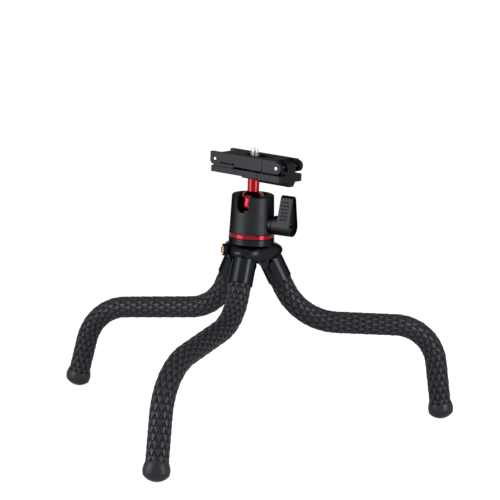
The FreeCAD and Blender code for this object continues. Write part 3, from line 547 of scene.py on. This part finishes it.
def screw_outline(root, top):
    """Half section of the screw from its lower end up, as (radius, height) points."""
    high = WHEEL_LOW + WHEEL_THICK
    dish = high - DISH_DEPTH
    shank = [
        (0, SHANK_END),
        (SHANK_R - SHANK_CHAMFER, SHANK_END),
        (SHANK_R, SHANK_END + SHANK_CHAMFER),
        (SHANK_R, GROOVE_LOW),
        (GROOVE_R, GROOVE_LOW),
        (GROOVE_R, GROOVE_HIGH),
        (SHANK_R, GROOVE_HIGH),
    ]
    wheel = [
        (SHANK_R, WHEEL_LOW + WHEEL_CONE),
        (WHEEL_R - WHEEL_LAND, WHEEL_LOW),
        (WHEEL_R - WHEEL_CHAMFER, WHEEL_LOW),
        (WHEEL_R, WHEEL_LOW + WHEEL_CHAMFER),
        (WHEEL_R, high - WHEEL_CHAMFER),
        (WHEEL_R - WHEEL_CHAMFER, high),
        (WHEEL_R - WHEEL_LAND, high),
        (WHEEL_R - DISH_EDGE, dish),
        (SHANK_R + BOSS_FOOT, dish),
        (SHANK_R + BOSS_TOP, high),
        (SHANK_R, high),
    ]
    tip = [
        (SHANK_R, FACE),
        (root, FACE + ROOT_CHAMFER),
        (root, top),
        (root - TIP_CHAMFER, top + THREAD_TIP),
        (0, top + THREAD_TIP),
    ]
    return shank + wheel + tip


def spin_outline(bm, points, steps):
    """Spin a chain of (radius, height) points round the upright axis."""
    verts = [bm.verts.new((r * MM, 0, z * MM)) for r, z in points]
    edges = [bm.edges.new(pair) for pair in zip(verts, verts[1:])]
    bmesh.ops.spin(bm, geom=verts + edges, cent=(0, 0, 0), axis=(0, 0, 1), dvec=(0, 0, 0),
                   angle=math.tau, steps=steps, use_merge=True, use_duplicate=False)
    bmesh.ops.remove_doubles(bm, verts=bm.verts, dist=FINE_WELD_GAP)


def flute_wheel(bm):
    """Press the finger flutes into the rim of the thumb wheel."""
    for vert in bm.verts:
        radius = math.hypot(vert.co.x, vert.co.y)
        if radius > (WHEEL_R - RIM_BAND) * MM:
            turn = math.atan2(vert.co.y, vert.co.x) * FLUTES
            share = 1.0 - FLUTE_DEPTH * MM / radius * max(0.0, math.cos(turn)) ** 2
            vert.co.x *= share
            vert.co.y *= share


def wind_thread(root, crest, pitch, low, high):
    """V-shaped thread ridge wound between two heights, all in metres."""
    bm = bmesh.new()
    foot, narrow = pitch * THREAD_FOOT, pitch * THREAD_CREST
    section = ((root, -foot), (crest, -narrow), (crest, narrow), (root, foot))
    verts = [bm.verts.new((r, 0, low + pitch / 2 + z)) for r, z in section]
    edges = [bm.edges.new(pair) for pair in zip(verts, verts[1:] + verts[:1])]
    steps = round(((high - low) / pitch - 1.0) * THREAD_STEPS)
    bmesh.ops.spin(bm, geom=verts + edges, cent=(0, 0, 0), axis=(0, 0, 1),
                   dvec=(0, 0, pitch / THREAD_STEPS), angle=math.tau * steps / THREAD_STEPS,
                   steps=steps, use_merge=False, use_duplicate=False)
    close_ends(bm)
    bmesh.ops.recalc_face_normals(bm, faces=bm.faces)
    return bm


class TRIPOD_OT_camera_screw(bpy.types.Operator):
    """Turn the camera screw with its thumb wheel and cut thread"""
    bl_idname = "tripod.camera_screw"
    bl_label = "Camera screw"

    def execute(self, context):
        settings = context.scene.tripod_fittings
        top = FACE + THREAD_LENGTH
        root = THREAD_R - settings.thread_depth / MM
        bm = bmesh.new()
        spin_outline(bm, screw_outline(root, top), SCREW_SIDES)
        flute_wheel(bm)
        ridge_root = root * MM - THREAD_SINK * MM
        add_bmesh(bm, wind_thread(ridge_root, THREAD_R * MM, settings.thread_pitch,
                                  FACE * MM, top * MM))
        bmesh.ops.translate(bm, vec=SCREW_AT, verts=bm.verts)
        piece = new_piece("threaded_camera_screw", bm, smooth=False)
        steel = context.scene.tripod_finishes.steel
        paint(piece, brushed("screw_steel", steel, roughness=0.28))
        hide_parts("camera_screw")
        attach(piece, "screw")
        return {"FINISHED"}


# return springs, in millimetres along the clamp from the camera screw

ALONG_CLAMP = Vector(JOINTS["clamp_slide"]["axis"]) * -1
ACROSS_CLAMP = UP.cross(ALONG_CLAMP)
SPRING_START = -22.9
SPRING_END = 9.8
SPRING_SIDE = 9.0
SPRING_RISE = 2.3
SPRING_COIL_R = 1.4
SPRING_STEPS = 14
SPRING_WIRE_SIDES = 6


def wind_spring(settings):
    """Coil of round wire on the upright axis, from the origin up."""
    bm = bmesh.new()
    wire = settings.spring_wire / 2
    ring = bmesh.ops.create_circle(bm, segments=SPRING_WIRE_SIDES, radius=wire, cap_ends=False)
    upright = Matrix.Rotation(math.pi / 2, 4, "X")
    place = Matrix.Translation((SPRING_COIL_R * MM, 0, wire))
    bmesh.ops.transform(bm, matrix=place @ upright, verts=ring["verts"])
    span = (SPRING_END - SPRING_START) * MM
    pitch = (span - settings.spring_wire) / settings.spring_turns
    bmesh.ops.spin(bm, geom=ring["verts"] + list(bm.edges), cent=(0, 0, 0), axis=(0, 0, 1),
                   dvec=(0, 0, pitch / SPRING_STEPS), angle=math.tau * settings.spring_turns,
                   steps=SPRING_STEPS * settings.spring_turns, use_merge=False,
                   use_duplicate=False)
    close_ends(bm)
    return bm


class TRIPOD_OT_return_springs(bpy.types.Operator):
    """Wind the two return springs on the clamp's guide rods"""
    bl_idname = "tripod.return_springs"
    bl_label = "Return springs"

    def execute(self, context):
        settings = context.scene.tripod_fittings
        steel = brushed("spring_steel", context.scene.tripod_finishes.steel, roughness=0.25)
        start = SCREW_AT + ALONG_CLAMP * (SPRING_START * MM) + UP * (SPRING_RISE * MM)
        lay = ALONG_CLAMP.to_track_quat("Z", "Y").to_matrix().to_4x4()
        for name, side in (("front", -1), ("back", 1)):
            bm = wind_spring(settings)
            place = start + ACROSS_CLAMP * (side * SPRING_SIDE * MM)
            bmesh.ops.transform(bm, matrix=Matrix.Translation(place) @ lay, verts=bm.verts)
            piece = new_piece(f"{name}_return_spring", bm)
            paint(piece, steel)
            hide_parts("return_springs")
            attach(piece, "clamp")
            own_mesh(piece)
        return {"FINISHED"}


# pieces of the frame that keep their shape


class TRIPOD_OT_finishes(bpy.types.Operator):
    """Give the frame's own pieces their finishes"""
    bl_idname = "tripod.finishes"
    bl_label = "Finishes"

    def execute(self, context):
        settings = context.scene.tripod_finishes
        gloss = finish("black_gloss", settings.black_gloss, metallic=1.0, roughness=0.24,
                       spread=0.03, grain=500.0, depth=0.004, rim=0.4)
        satin = finish("black_metal", settings.black_metal, metallic=1.0, roughness=0.43,
                       spread=0.04, grain=3500.0, rim=0.3)
        red = finish("red_metal", settings.red, metallic=1.0, roughness=0.14, spread=0.02,
                     grain=2500.0, depth=0.002, coat=0.3, mottle=0.05, rim=0.3)
        rubber = finish("foot_rubber", settings.foot, roughness=0.34, grain=1300.0, depth=0.03,
                        **LEG_RUBBER)
        steel = brushed("steel", settings.steel, roughness=0.27)
        dark = brushed("dark_steel", DARK_STEEL, roughness=0.3)
        brass = brushed("brass", settings.brass, roughness=0.24)
        plain = finish("seat_plastic", SEAT_PLASTIC, metallic=0.0, roughness=0.5)
        ribbed = ribbed_rubber(PAD_RUBBER)
        looks = {
            gloss: ["hub_body", *[f"leg_{side}_cuff" for side in LEGS]],
            satin: ["head_housing", "lock_knob", "clamp_base", "clamp_slider", "long_arm",
                    "short_arm"],
            red: ["head_base_ring", "ball_stem"],
            rubber: [f"leg_{side}_foot" for side in LEGS],
            steel: ["head_stud", "guide_rods", "screw_clip", "long_arm_pin", "short_arm_pin"],
            dark: ["leg_pins", "lock_screw"],
            brass: ["side_insert", "lock_wedge"],
            plain: ["ball_seat"],
            ribbed: ["long_arm_pad", "short_arm_pad"],
        }
        for material, names in looks.items():
            for name in names:
                paint(frame["nodes"][name], material)
        return {"FINISHED"}


# stage, in metres and pixels of the frame

EYE_DISTANCE = 1.5
EYE_PITCH = math.radians(11.5)
EYE_ROLL = math.radians(2.15)
EYE_REACH = (0.05, 200.0)
PIXELS_PER_METRE = 1320.0  # at the base ring
FRAME_PIXELS = 500.0
RING_PIXEL = (251.65, 233.8)  # where the frame shows the head's turn
WORLD_LIGHT = 0.25
WORLD_SEEN = 1.0
FLOOR_GREY = 0.42
FLOOR_ROUGHNESS = 0.8
FLOOR_SHINE = 0.1
FLOOR_SEEN = 0.89
# each lamp's setting, place from the head's turn, height it aims at above that, and size
LAMPS = {
    "left_softbox": ("key", (-0.62, -0.33, 0.19), 0.1, (0.46, 0.68)),
    "right_softbox": ("fill", (0.55, -0.44, 0.19), 0.1, (0.26, 0.68)),
    "overhead": ("top", (-0.1, 0.1, 1.1), 0.0, (0.9, 0.9)),
}


def set_eye():
    """Add the camera, with the head's turn at its pixel of the frame."""
    focal = PIXELS_PER_METRE * EYE_DISTANCE
    ahead = Vector((0, math.cos(EYE_PITCH), -math.sin(EYE_PITCH)))
    level = Vector((1, 0, 0))
    above = level.cross(ahead)
    right = level * math.cos(EYE_ROLL) + above * math.sin(EYE_ROLL)
    top = above * math.cos(EYE_ROLL) - level * math.sin(EYE_ROLL)
    x = RING_PIXEL[0] - FRAME_PIXELS / 2
    y = RING_PIXEL[1] - FRAME_PIXELS / 2
    ray = ahead * focal + right * x - top * y
    place = HEAD_TURN_AT - ray / ray.y * EYE_DISTANCE
    data = bpy.data.cameras.new("camera")
    data.lens = focal / FRAME_PIXELS * data.sensor_width
    data.clip_start, data.clip_end = EYE_REACH
    camera = bpy.data.objects.new("camera", data)
    turn = Matrix((right, top, -ahead)).transposed().to_4x4()
    camera.matrix_world = Matrix.Translation(place) @ turn
    bpy.context.scene.collection.objects.link(camera)
    bpy.context.scene.camera = camera


def hang_lamp(name, place, target, size, watts):
    """Add a softbox that faces its target."""
    data = bpy.data.lights.new(name, "AREA")
    data.shape = "RECTANGLE"
    data.size, data.size_y = size
    data.energy = watts
    light = bpy.data.objects.new(name, data)
    turn = (target - place).to_track_quat("-Z", "Y").to_matrix().to_4x4()
    light.matrix_world = Matrix.Translation(place) @ turn
    bpy.context.scene.collection.objects.link(light)


def seen_directly(nodes, links):
    """Node output that is one for camera, glossy and transmitted rays."""
    path = nodes.new("ShaderNodeLightPath")
    total = path.outputs["Is Camera Ray"]
    for name in ("Is Glossy Ray", "Is Transmission Ray"):
        add = nodes.new("ShaderNodeMath")
        add.operation = "MAXIMUM"
        links.new(total, add.inputs[0])
        links.new(path.outputs[name], add.inputs[1])
        total = add.outputs[0]
    return total


def pale_world():
    """World that lights the object softly and is white where it is seen."""
    world = bpy.data.worlds.new("pale")
    world.use_nodes = True
    nodes, links = world.node_tree.nodes, world.node_tree.links
    back = nodes["Background"]
    back.inputs["Color"].default_value = (1, 1, 1, 1)
    level = nodes.new("ShaderNodeMapRange")
    set_inputs(level, {"To Min": WORLD_LIGHT, "To Max": WORLD_SEEN})
    links.new(seen_directly(nodes, links), level.inputs["Value"])
    links.new(level.outputs["Result"], back.inputs["Strength"])
    return world


def pale_floor():
    """Grey floor material, lifted to near white where it is seen."""
    pale = bpy.data.materials.new("pale_floor")
    pale.use_nodes = True
    nodes, links = pale.node_tree.nodes, pale.node_tree.links
    shader = nodes["Principled BSDF"]
    set_inputs(shader, {
        "Base Color": (FLOOR_GREY, FLOOR_GREY, FLOOR_GREY, 1),
        "Roughness": FLOOR_ROUGHNESS,
        "Specular IOR Level": FLOOR_SHINE,
        "Emission Color": (1, 1, 1, 1),
    })
    lift = nodes.new("ShaderNodeMath")
    lift.operation = "MULTIPLY"
    lift.inputs[1].default_value = FLOOR_SEEN
    links.new(seen_directly(nodes, links), lift.inputs[0])
    links.new(lift.outputs[0], shader.inputs["Emission Strength"])
    return pale


class TRIPOD_OT_stage(bpy.types.Operator):
    """Set up the pale floor, the soft light and the camera"""
    bl_idname = "tripod.stage"
    bl_label = "Stage"

    def execute(self, context):
        settings = context.scene.tripod_stage
        context.scene.world = pale_world()
        bm = bmesh.new()
        bmesh.ops.create_grid(bm, x_segments=1, y_segments=1, size=settings.floor / 2)
        floor = new_piece("floor", bm, smooth=False)
        paint(floor, pale_floor())
        for name, (setting, place, aim, size) in LAMPS.items():
            hang_lamp(name, HEAD_TURN_AT + Vector(place), HEAD_TURN_AT + UP * aim, size,
                      getattr(settings, setting))
        set_eye()
        return {"FINISHED"}


# sidebar


class TRIPOD_PT_panel(bpy.types.Panel):
    """Sizes, colours and steps of the tripod"""
    bl_label = "Tripod"
    bl_space_type = "VIEW_3D"
    bl_region_type = "UI"
    bl_category = "Tripod"

    def draw(self, context):
        for group, kind in GROUPS.items():
            column = self.layout.column()
            for name in kind.__annotations__:
                column.prop(getattr(context.scene, group), name)
        for operator in OPERATORS:
            self.layout.operator(operator.bl_idname)


GROUPS = {
    "tripod_sleeves": SleeveSettings,
    "tripod_fittings": FittingSettings,
    "tripod_finishes": FinishSettings,
    "tripod_stage": StageSettings,
}
OPERATORS = (
    TRIPOD_OT_leg_sleeves,
    TRIPOD_OT_core_wires,
    TRIPOD_OT_camera_screw,
    TRIPOD_OT_return_springs,
    TRIPOD_OT_finishes,
    TRIPOD_OT_stage,
)


def register():
    for group, kind in GROUPS.items():
        bpy.utils.register_class(kind)
        setattr(bpy.types.Scene, group, bpy.props.PointerProperty(type=kind))
    for operator in OPERATORS:
        bpy.utils.register_class(operator)
    bpy.utils.register_class(TRIPOD_PT_panel)


def unregister():
    bpy.utils.unregister_class(TRIPOD_PT_panel)
    for operator in reversed(OPERATORS):
        bpy.utils.unregister_class(operator)
    for group, kind in reversed(GROUPS.items()):
        delattr(bpy.types.Scene, group)
        bpy.utils.unregister_class(kind)


def main():
    register()
    bpy.context.scene.view_settings.view_transform = "Standard"
    bpy.ops.tripod.leg_sleeves()
    bpy.ops.tripod.core_wires()
    bpy.ops.tripod.camera_screw()
    bpy.ops.tripod.return_springs()
    bpy.ops.tripod.finishes()
    bpy.ops.tripod.stage()


if __name__ == "__main__":
    main()
